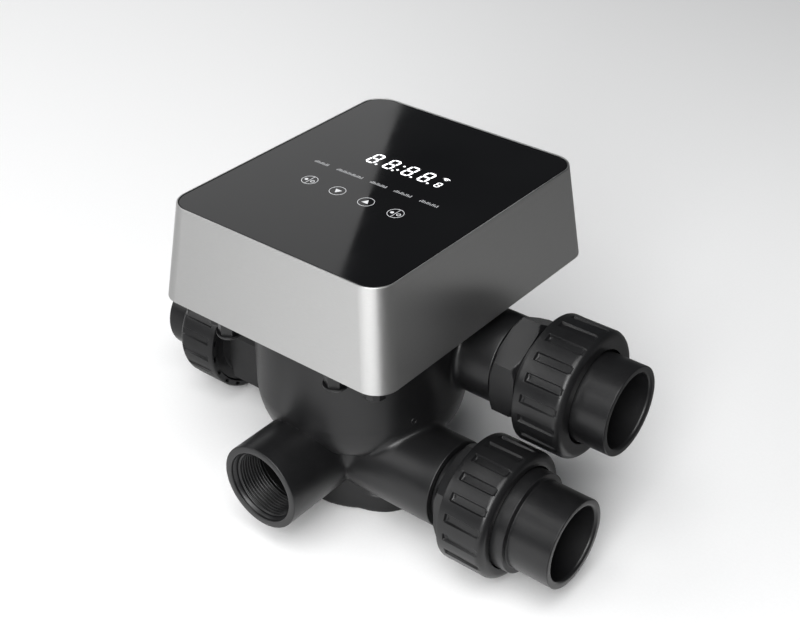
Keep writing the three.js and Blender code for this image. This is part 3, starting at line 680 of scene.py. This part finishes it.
def flange_radius(angles):
    """The flange's edge: a circle with a round tongue for each bolt."""
    radius = np.full(angles.shape, FLANGE_R)
    for bolt in np.radians(BOLT_ANGLES):
        turn = np.abs((angles - bolt + math.pi) % TAU - math.pi)
        near = turn < TAU / 12
        sine = np.maximum(np.sin(turn), 1e-6)
        tip = BOLT_CIRCLE * np.cos(turn) + np.sqrt(
            np.maximum(TONGUE_R ** 2 - (BOLT_CIRCLE * sine) ** 2, 0))
        reach = np.where(BOLT_CIRCLE * sine <= TONGUE_R, tip, TONGUE_R / sine)
        radius = np.where(near, np.maximum(radius, reach), radius)
    return radius


def flange_rings(angles):
    """From the bowl's outside, over the flange, and down into the bowl's bore."""
    edge = flange_radius(angles)
    top = BODY_HIGH[2]
    return [
        (BOWL_R, FLANGE_Z - 0.9), (BOWL_R + 0.3, FLANGE_Z - 0.3), (BOWL_R + 0.9, FLANGE_Z),
        (edge - 0.7, FLANGE_Z), (edge - 0.2, FLANGE_Z + 0.2), (edge, FLANGE_Z + 0.7),
        (edge, top - 0.7), (edge - 0.2, top - 0.2), (edge - 0.7, top),
        (BOWL_BORE_R + 0.7, top), (BOWL_BORE_R, top - 0.7), (BOWL_BORE_R, FLANGE_Z - 0.9),
    ]


def plain_radius(r, _, angles):
    return np.full(angles.shape, r)


def port_rings(port):
    """A tube end's angles and its (radius, along) rings, with a thread in the front and rear mouths."""
    angles = even(TUBE_COUNT)
    threaded = port.name in ("front", "rear")
    shape = thread_radius(port) if threaded else plain_radius
    return angles, [(shape(r, along, angles), along) for r, along in port_profile(port, threaded)]


def end_loops(vertices, loops, axis, far):
    """The outer and the inner open loop that go round an axis beyond a distance along it."""
    found = []
    for loop in loops:
        offset = vertices[loop] - axis.centre
        along = offset @ axis.direction
        apart = offset - np.outer(along, axis.direction)
        if along.min() > far and np.linalg.norm(apart.mean(0)) < 5:
            found.append((np.linalg.norm(apart, axis=1).mean(), loop))
    found.sort(key=lambda pair: pair[0])
    return found[-1][1], found[0][1]


def valve_body():
    """The moulding: a contoured bowl with turned tube ends and a flange joined on."""
    across = int(2 * REACH / STEP)
    vertices, quads = contour(body_distance, (-REACH, -REACH, -STEP), STEP, [across, across, LAYERS])
    faces = quads.tolist()
    loops = open_loops(quads)
    contoured = len(vertices)
    ends = [(port, REACH - STEP, *port_rings(port)) for port in PORTS]
    ends.append((upright(0, 0), STEP * (LAYERS - 3), even(480), flange_rings(even(480))))
    for axis, far, angles, rings in ends:
        outer, inner = end_loops(vertices, loops, axis, far)
        base = len(vertices)
        vertices = np.concatenate([vertices] + [axis.ring(r, along, angles) for r, along in rings])
        count = len(angles)
        faces += (np.array(ring_faces(count, len(rings), False)) + base).tolist()
        last = base + (len(rings) - 1) * count
        faces += zipped(axis, vertices, outer, list(range(base, base + count)))
        faces += zipped(axis, vertices, inner, list(range(last, last + count)))
    piece = make("valve_moulding", vertices, faces, MATERIALS["body_black"], 38, False)
    face_the_right_way(piece)
    only_creases_sharp(piece, contoured)
    paint_shade_in_water_space(piece)
    finish_piece(piece, "root", "body_black", "valve_body")


def face_the_right_way(piece):
    """Makes all faces of a closed mesh point out."""
    work = bmesh.new()
    work.from_mesh(piece.data)
    bmesh.ops.recalc_face_normals(work, faces=work.faces)
    work.to_mesh(piece.data)
    work.free()


def only_creases_sharp(piece, contoured):
    """Turned rings, which come after the contoured vertices, are smooth all over."""
    edges = np.empty(len(piece.data.edges) * 2, int)
    piece.data.edges.foreach_get("vertices", edges)
    sharp = np.empty(len(piece.data.edges), bool)
    marks = piece.data.attributes["sharp_edge"].data
    marks.foreach_get("value", sharp)
    sharp &= (edges.reshape(-1, 2) < contoured).all(1)
    marks.foreach_set("value", sharp)


def paint_shade_in_water_space(piece):
    """The chambers and plain bores behind the threads get a dull black of their own, darker than the
    moulding: painted shade in the hollows.
    """
    piece.data.materials.append(BORE_PAINTED_SHADE)
    centres = np.array([face.center for face in piece.data.polygons]) / MM
    x, y, z = centres.T
    painted_shade = np.abs(cavity_distance(x, y, z, np.hypot(x, y))) < 0.8
    behind_thread = (np.abs(y) > CHAMBER_R) & (np.abs(y) < THREAD_END + 0.4)
    painted_shade |= behind_thread & (np.hypot(x, z - LOW_Z) < THREAD_R + 0.2)
    piece.data.polygons.foreach_set("material_index", painted_shade.astype(np.int32))


def bowl_mark():
    """A small raised ring on the bowl, above the right tube."""
    angle = math.radians(RING_MARK[0])
    out = np.array([math.cos(angle), math.sin(angle), 0])
    axis = Axis(out * BOWL_R + Z * RING_MARK[1], out, np.cross(Z, out))
    profile = soften([(1.5, -0.6), (2.3, -0.6), (2.3, 0.3), (1.5, 0.3)], 0.15, 1)
    piece = turned("bowl_ring_mark", axis, profile, MATERIALS["body_black"], even(36))
    finish_piece(piece, "root", "body_black")


# ---------- unions
def hexagon(flat, start, stop, floor):
    """Shapes rings between start and stop into a hexagon, wherever they reach past floor."""
    def radius(r, along, angles):
        if r <= floor or not start - 0.01 <= along <= stop + 0.01:
            return np.full(angles.shape, r)
        turn = (angles + TAU / 12) % (TAU / 6) - TAU / 12
        return np.minimum(r, flat / np.cos(turn))
    return radius


def reach_of(node):
    """The nearest and the farthest distance of a side union's node from the valve's axis."""
    low, high = extent(node)
    return sorted((abs(low[0]), abs(high[0])))


def hexagon_profile(start, stop, steps=6):
    """The outside of a hexagon between start and stop, with a chamfer at each end."""
    corner = HEX_FLAT_R / math.cos(TAU / 12)
    inner, long = HEX_CHAMFER
    chamfer = [(inner + (corner - inner) * k / steps, long * k / steps) for k in range(steps + 1)]
    rising = [(r, start + d) for r, d in chamfer]
    falling = [(r, stop - d) for r, d in chamfer[::-1]]
    return [(HEX_FACE_R, start)] + rising + falling + [(HEX_FACE_R, stop)]


def adaptor(port):
    """Screwed into its tube: a spigot, a hexagon, and the union thread with its sealing face."""
    tube_end, hidden = port.end + 0.3, port.end - ENGAGED
    start, stop = (port.end + d for d in HEXES[port.name])
    nut_from = reach_of(f"{port.name}_union_nut")[0]
    face = nut_from + NUT_LONG - NUT_LIP - SEAL_FACE
    thread_from = max(nut_from + 1.2, stop) + 0.2
    neck = NECK_R if start > port.end else TUBE_R + 0.3
    profile = soften([(ADAPTOR_BORE_R, hidden), (SPIGOT_R, hidden), (SPIGOT_R, tube_end), (neck, tube_end),
                      (neck, start)], 0.5, 2, closed=False)
    profile += hexagon_profile(start, stop) + [(RELIEF_R, stop)]
    profile += soften([(RELIEF_R, stop + 0.1), (RELIEF_R, thread_from), (UNION_THREAD_R, thread_from),
                       (UNION_THREAD_R, face), (GROOVE_R[1], face), (GROOVE_R[1], face - GROOVE_DEPTH),
                       (GROOVE_R[0], face - GROOVE_DEPTH), (GROOVE_R[0], face), (ADAPTOR_BORE_R, face),
                       (ADAPTOR_BORE_R, port.end)], 0.5, 2, closed=False)
    piece = turned(f"{port.name}_male_fitting", port, profile, MATERIALS["fitting_black"],
                   radius=hexagon(HEX_FLAT_R, start, stop, RELIEF_R + 0.2), smooth=24)
    finish_piece(piece, "root", "fitting_black", f"{port.name}_adaptor")


def tailpiece(port):
    """A flange that the nut holds, a plain stub, and the socket for the pipe."""
    flange, mouth = reach_of(f"{port.name}_tailpiece")
    front, seat = flange + TAIL_FLANGE, mouth - SOCKET_DEPTH
    outline = [(BORE_R, flange), (TAIL_FLANGE_R, flange), (TAIL_FLANGE_R, front)]
    if port.name == "right":
        collar_to = port.end + COLLAR_END
        outline += [(COLLAR_R, front), (COLLAR_R, collar_to), (STUB_R, collar_to + 0.2)]
    else:
        outline += [(STUB_R, front), (STUB_R, flange + 20)]
    outline += [(STUB_R, mouth), (SOCKET_R + 1.3, mouth), (SOCKET_R, mouth - 1.5), (SOCKET_R, seat),
                (BORE_R + 1.5, seat), (BORE_R, seat - 3)]
    piece = turned(f"{port.name}_pipe_stub", port, soften(outline, 0.9, 3), MATERIALS["fitting_black"],
                   even(128))
    finish_piece(piece, f"{port.name}_tail", "fitting_black", f"{port.name}_tailpiece")


def slot_angles(phase):
    """Sample angles round a nut, close together at the walls of each slot."""
    across = np.array([-7.0, -5.6, -4.2, -3.3, -3.1, -2.9, -2.7, -2.5, -2.3, -2.0, -1.4, -0.5,
                       0.5, 1.4, 2.0, 2.3, 2.5, 2.7, 2.9, 3.1, 3.3, 4.2, 5.6])
    centres = np.radians(phase) + even(SLOTS)
    return (centres[:, None] + across / NUT_R).ravel()


def from_slot(angles, phase):
    """Distance round a nut's outside from the middle of the nearest slot."""
    half = math.pi / SLOTS
    turn = (angles - math.radians(phase) + half) % (2 * half) - half
    return np.abs(turn) * NUT_R


def grip_slots(phase, low, high):
    """Sinks the grip slots into a nut's outside, with a small notch at the rear of each."""
    rear, front = low + 5.5, high - 3.2

    def radius(r, along, angles):
        across = from_slot(angles, phase)
        if r < NUT_R - 6:
            return np.full(angles.shape, r)
        tip = front - SLOT_HALF
        if along > tip:
            distance = np.hypot(across, along - tip) - SLOT_HALF
        else:
            distance = np.maximum(across - SLOT_HALF, rear - along)
        wall = np.clip(0.5 - distance / SLOT_WALL, 0, 1)
        shallower = np.interp(along, (rear, front), (1.0, SLOT_FADE))
        depth = SLOT_DEPTH * shallower * wall * wall * (3 - 2 * wall)
        notch = np.clip(0.5 - np.maximum(across - 1.3, np.abs(along - rear - 1.6) - 0.7) / 0.3, 0, 1)
        return np.minimum(r, NUT_R - depth - NOTCH_DEPTH * notch)
    return radius


def rear_pockets(piece, port, angles, phase):
    """Presses a small pocket into the rear face in line with each slot."""
    pressed = np.flatnonzero(from_slot(angles, phase) < POCKET_HALF)
    for row in POCKET_ROWS:
        for i in pressed:
            piece.data.vertices[row * len(angles) + i].co += Vector(port.direction * POCKET_DEPTH * MM)
    piece.data.set_sharp_from_angle(angle=math.radians(40))


def nut_side(low, high):
    """Heights of a nut's outer rings: close together at both ends of the slots and at the notches."""
    rear = low + np.array([1.0, 3.2, 5.0, 5.25, 5.5, 5.75, 6.1, 6.5, 7.1, 7.9, 8.4, 9.0])
    middle_part = np.arange(low + 11, high - 9, 2.4)
    front = np.arange(high - 8.6, high - 5.3, 0.35)
    return np.concatenate([rear, middle_part, front])


def union_nut(port):
    """A ring nut with grip slots, a round shoulder, and a lip that holds the tailpiece's flange."""
    low, high = reach_of(f"{port.name}_union_nut")
    lip = LIP_R[port.name]
    rear = [(NUT_BORE_R, low + 1.6)]
    rear += [(NUT_BORE_R + step, low) for step in (0.5, 1.1, 1.2, 1.3, 3.7, 3.8)]
    rear += [(NUT_R - 0.9, low), (NUT_R - 0.25, low + 0.3)]
    side = [(NUT_R, along) for along in nut_side(low, high)]
    shoulder = [(NUT_R - NUT_ROUND * (1 - math.sin(a)), high - NUT_ROUND * (1 - math.cos(a)))
                for a in np.linspace(TAU / 4, 0, 9)]
    front = soften([(NUT_R - NUT_ROUND - 0.4, high), (lip, high), (lip, high - NUT_LIP),
                    (NUT_BORE_R, high - NUT_LIP), (NUT_BORE_R, low + 2)], 0.6, 2, closed=False)
    phase = SLOT_PHASES[port.name]
    angles = slot_angles(phase)
    piece = turned(f"{port.name}_ring_nut", port, rear + side + shoulder + front,
                   MATERIALS["fitting_black"], angles, grip_slots(phase, low, high), smooth=40)
    rear_pockets(piece, port, angles, phase)
    finish_piece(piece, f"{port.name}_nut", "fitting_black", f"{port.name}_union_nut")


# ---------- control box
def box_outline(z, inset):
    """Rounded outline of the box's wall at a height, drawn in by an inset: an array of (x, y)."""
    down = (SKIRT_HIGH[2] - z) / (SKIRT_HIGH[2] - SKIRT_LOW[2])
    flare = BOX_FLARE * (down - 1) - inset
    x0, y0 = SKIRT_LOW[:2] - flare
    x1, y1 = SKIRT_HIGH[:2] + flare
    radius = max(BOX_CORNER - inset, 1)
    points = []
    for corner, (cx, cy) in enumerate([(x1 - radius, y1 - radius), (x0 + radius, y1 - radius),
                                       (x0 + radius, y0 + radius), (x1 - radius, y0 + radius)]):
        for a in (corner + np.linspace(0, 1, 15)) * TAU / 4:
            points.append((cx + radius * math.cos(a), cy + radius * math.sin(a)))
    return np.array(points)


def lofted(name, sections, material, closed=True):
    """Skins a stack of (outline, z) sections into a closed band or a capped slab."""
    rings = [np.column_stack([points, np.full(len(points), z)]) for points, z in sections]
    return make(name, *skinned(rings, closed), material)


def skirt():
    """The silver sheet, with the ledge inside its rim that the glass is glued on."""
    top, bottom = SKIRT_HIGH[2], SKIRT_LOW[2]
    ledge, ledge_to = top - GLASS_T - 1.7, SKIRT_T + LEDGE
    profile = soften([
        (0, bottom), (0, top), (SKIRT_T, top), (SKIRT_T, ledge), (ledge_to, ledge),
        (ledge_to, ledge - LEDGE / 2), (SKIRT_T, ledge - LEDGE), (SKIRT_T, bottom),
    ], 0.7, 3)
    piece = lofted("silver_shell", [(box_outline(z, inset), z) for inset, z in profile],
                   MATERIALS["silver_metal"])
    finish_piece(piece, "root", "silver_metal", "metal_skirt")


def glass():
    """The key panel: a slab that fills the shell's rim, with fine bevels."""
    low, high = (corner[2] for corner in extent("glass_panel"))
    inset = SKIRT_T + GLASS_GAP
    rows = [(inset + 0.5, low), (inset, low + 0.5), (inset, high - 0.5), (inset + 0.15, high - 0.15),
            (inset + 0.5, high)]
    sections = [(box_outline(SKIRT_HIGH[2], inner), z) for inner, z in rows]
    piece = lofted("key_glass", sections, MATERIALS["black_glass"], closed=False)
    finish_piece(piece, "root", "black_glass", "glass_panel")


# ---------- marks on the glass
MARK_Z = extent("glass_panel")[1][2] + 0.02
MARK_T = 0.06
DIGITS_AT = (-25.7, -12.1, 3.1, 16.5)       # left edges
DIGITS_BASE = 35.4
DIGIT = (7.2, 13.8, 1.4)                    # width, height and stroke
SMALL_DIGIT = (3.9, 6.4, 0.7)
SMALL_DIGIT_AT = 30.6
POINT_R = 0.85
SLANT = 0.09
SIGNAL_AT = (32.8, 45.4)
KEYS_AT = (-35.4, -12.0, 11.4, 34.9)
KEY_Y = -7.1
KEY_R = 5.5
LABELS = ((-50.8, -39.1), (-31.9, -10.2), (-3.8, 9.5), (15.5, 29.6), (36.2, 50.4))
LABEL_BASE = 14.2
LINE = 0.34                                 # width of a fine line


def joined(parts):
    """Vertices and faces of several closed shapes as one list of each."""
    vertices, faces = [], []
    for points, sides in parts:
        points = np.array(points)
        faces += [[i + len(vertices) for i in face] for face in outward(points, sides)]
        vertices += points.tolist()
    return vertices, faces


def slab(outline):
    """A thin solid mark that lies on the glass."""
    return skinned([np.array([(x, y, z) for x, y in outline]) for z in (MARK_Z, MARK_Z + MARK_T)], False)


def hoop(cx, cy, radius, width):
    """A thin ring that lies on the glass."""
    profile = [(radius, MARK_Z), (radius, MARK_Z + MARK_T), (radius - width, MARK_Z + MARK_T),
               (radius - width, MARK_Z)]
    return skinned([upright(cx, cy).ring(r, z, even(48)) for r, z in profile], True)


def leaning(outline):
    """The outline sheared to the right, the more the higher it is above the digits' base."""
    return [(x + SLANT * (y - DIGITS_BASE), y) for x, y in outline]


def segment(start, end, width):
    """A six-sided bar with pointed ends, from one point to another."""
    start, end = np.array(start), np.array(end)
    way = (end - start) / np.linalg.norm(end - start) * width / 2
    side = np.array([-way[1], way[0]])
    return [start, start + way - side, end - way - side, end, end - way + side, start + way + side]


def digit(left, width, height, stroke):
    """The seven bars of an eight, with small gaps between them."""
    base = DIGITS_BASE
    x0, x1 = left + stroke / 2, left + width - stroke / 2
    y0, y1, y2 = base + stroke / 2, base + height / 2, base + height - stroke / 2
    gap = stroke * 0.22
    level = [segment((x0 + gap, y), (x1 - gap, y), stroke) for y in (y0, y1, y2)]
    return level + [segment((x, low + gap), (x, high - gap), stroke)
                    for x in (x0, x1) for low, high in ((y0, y1), (y1, y2))]


def dot(cx, cy, radius):
    return [(cx + radius * math.cos(a), cy + radius * math.sin(a)) for a in even(16)]


def arc(cx, cy, radius, width):
    """A quarter of a ring, open to below."""
    turn = [math.radians(d) for d in range(45, 136, 9)]
    edges = [(radius, a) for a in turn] + [(radius - width, a) for a in turn[::-1]]
    return [(cx + r * math.cos(a), cy + r * math.sin(a)) for r, a in edges]


def display():
    """The digits 8.8:8.8 with a small eight, and a plain signal mark of three arcs."""
    outlines = []
    for left in DIGITS_AT:
        outlines += digit(left, *DIGIT)
        outlines.append(dot(left + DIGIT[0] + 2.2, DIGITS_BASE + 0.8, POINT_R))
    outlines += [dot(-0.6, DIGITS_BASE + up, POINT_R) for up in (3.4, 9.9)]
    outlines += digit(SMALL_DIGIT_AT, *SMALL_DIGIT)
    parts = [slab(leaning(outline)) for outline in outlines]
    parts += [slab(arc(*SIGNAL_AT, radius, 0.5)) for radius in (1.2, 2.5, 3.8)]
    finish_piece(make("display_digits", *joined(parts), DIGITS), "root", None)


def tick_row(start, stop):
    """A row of short upright lines that stands for a word; each third one is lower."""
    count = round((stop - start) / 1.25)
    pitch = (stop - start) / count
    ticks = []
    for k in range(count):
        x, top = start + pitch * (k + 0.5), LABEL_BASE + (2.7 if k % 3 else 1.7)
        ticks.append([(x - LINE / 2, LABEL_BASE), (x + LINE / 2, LABEL_BASE), (x + LINE / 2, top),
                      (x - LINE / 2, top)])
    return ticks


def keys():
    """Four touch rings with plain symbols, and five rows of ticks that stand for the functions."""
    outlines = []
    for side, cx in ((-1, KEYS_AT[1]), (1, KEYS_AT[2])):
        foot = KEY_Y - 1.6 * side
        outlines.append([(cx - 2.5, foot), (cx + 2.5, foot), (cx, KEY_Y + 2.6 * side)])
    for cx in (KEYS_AT[0], KEYS_AT[3]):
        outlines.append(segment((cx, KEY_Y - KEY_R + 0.4), (cx, KEY_Y + KEY_R - 0.4), 0.36))
        outlines.append(dot(cx - 2.5, KEY_Y - 0.3, 1.25))
    for ends in LABELS:
        outlines += tick_row(*ends)
    parts = [slab(outline) for outline in outlines]
    parts += [hoop(cx, KEY_Y, KEY_R, LINE) for cx in KEYS_AT]
    parts += [hoop(cx + 2.6, KEY_Y - 0.3, 1.5, 0.5) for cx in (KEYS_AT[0], KEYS_AT[3])]
    finish_piece(make("key_marks", *joined(parts), PRINT), "root", None)


# ---------- hanging hardware
def cover_bolts():
    """Hexagon bolts under the flange, each with a round collar at its lower end."""
    for number, angle in enumerate(np.radians(BOLT_ANGLES), 1):
        low, high = (corner[2] for corner in extent(f"cover_bolt_{number}"))
        axis = upright(BOLT_CIRCLE * math.cos(angle), BOLT_CIRCLE * math.sin(angle))
        seat, collar_to = FLANGE_Z - 0.3, low + COLLAR_LONG
        profile = soften([(0.2, low), (BOLT_COLLAR_R - 0.6, low), (BOLT_COLLAR_R, low + COLLAR_LONG / 2),
                          (BOLT_COLLAR_R, collar_to), (BOLT_HEX_R, collar_to), (BOLT_HEX_R, seat),
                          (BOLT_R, seat), (BOLT_R, high), (0.2, high)], 0.4, 2, closed=False)
        piece = turned(f"hex_bolt_{number}", axis, profile, MATERIALS["body_black"], even(72),
                       hexagon(BOLT_FLAT_R, collar_to + 0.1, seat, BOLT_R + 1), closed=False, smooth=24)
        finish_piece(piece, "root", "body_black", f"cover_bolt_{number}")


# ---------- studio
def studio():
    """A wide white paper floor just under the valve, and a faint cool light all round."""
    half, below = 4000, -0.2
    corners = [(half * x, half * y, below) for x, y in ((-1, -1), (1, -1), (1, 1), (-1, 1))]
    make("floor", corners, [[0, 1, 2, 3]], paper("floor_paper", 0.95))
    world = bpy.data.worlds.new("studio")
    bpy.context.scene.world = world
    world.use_nodes = True
    background = world.node_tree.nodes["Background"]
    background.inputs["Color"].default_value = (0.9, 0.95, 1.0, 1)
    background.inputs["Strength"].default_value = 0.06


def softbox(name, at, towards, size, power):
    """A soft rectangular lamp: metres and watts."""
    light = bpy.data.lights.new(name, "AREA")
    light.shape = "RECTANGLE"
    light.size, light.size_y = size
    light.energy = power
    lamp = bpy.data.objects.new(name, light)
    lamp.location = at
    lamp.rotation_euler = (Vector(towards) - Vector(at)).to_track_quat("-Z", "Y").to_euler()
    bpy.context.scene.collection.objects.link(lamp)
    return lamp


def lights():
    centre = (0, 0, 0.12)
    softbox("key_front_left", (-1.3, -1.5, 1.15), centre, (1.2, 1.2), 10)
    softbox("key_front_right", (0.7, -1.6, 1.05), centre, (0.8, 1.4), 32)
    softbox("overhead_front", (0.5, -0.9, 2.3), centre, (2.2, 1.6), 44)
    glass_card()
    flag("flag_dark", -42, 20, 240.0, 0.1)
    flag("flag_right", 20, 115, 150.0, 0.22)
    flag("flag_left", 180, 232, 120.0, 0.5)
    flag("flag_front", 232, 264, 190.0, 0.68)


def glass_card():
    """The glass mirrors this card: its straight edge is where the panel turns from grey to black."""
    edge = np.array([[-0.785, 0.866], [-1.129, 1.459]])
    along = (edge[1] - edge[0]) / np.linalg.norm(edge[1] - edge[0])
    width, length = 1.4, 2.6
    x, y = edge.mean(0) + np.array([-along[1], along[0]]) * width / 2
    card = softbox("glass_card", (x, y, 1.0), (x, y, 0), (width, length), 0.75 * math.pi * width * length)
    card.rotation_euler = (0, 0, math.atan2(-along[0], along[1]))


def flag(name, start, stop, nearest, shade):
    """A card on the floor that only reflections see, so that side of the shell mirrors less light."""
    height, farthest, count = 2.0, 2600.0, 24
    angles = np.radians(np.linspace(start, stop, count))
    rims = [upright(0, 0).ring(r, height, angles) for r in (nearest, farthest)]
    faces = ring_faces(count, 2, False)[:-1]
    card = make(name, np.concatenate(rims), faces, paper(name + "_card", shade))
    card.visible_camera = False
    card.visible_diffuse = False
    card.visible_shadow = False


def camera():
    """Looks from the front right and above, as the picture of the valve was taken."""
    azimuth, elevation = math.radians(38.641), math.radians(33.519)
    back = Vector((math.sin(azimuth) * math.cos(elevation), -math.cos(azimuth) * math.cos(elevation),
                   math.sin(elevation)))
    data = bpy.data.cameras.new("photo_view")
    data.sensor_width = 36
    data.lens = 61.585
    data.clip_start = 0.01
    eye = bpy.data.objects.new("photo_view", data)
    eye.location = (0.4956, -0.5790, 0.6283)
    eye.rotation_euler = back.to_track_quat("Z", "Y").to_euler()
    bpy.context.scene.collection.objects.link(eye)
    bpy.context.scene.camera = eye


bpy.context.scene.view_settings.view_transform = "Standard"
camera()
studio()
lights()
dress_cad_nodes()
valve_body()
bowl_mark()
for union_port in PORTS[2:]:
    adaptor(union_port)
    tailpiece(union_port)
    union_nut(union_port)
skirt()
glass()
display()
keys()
cover_bolts()
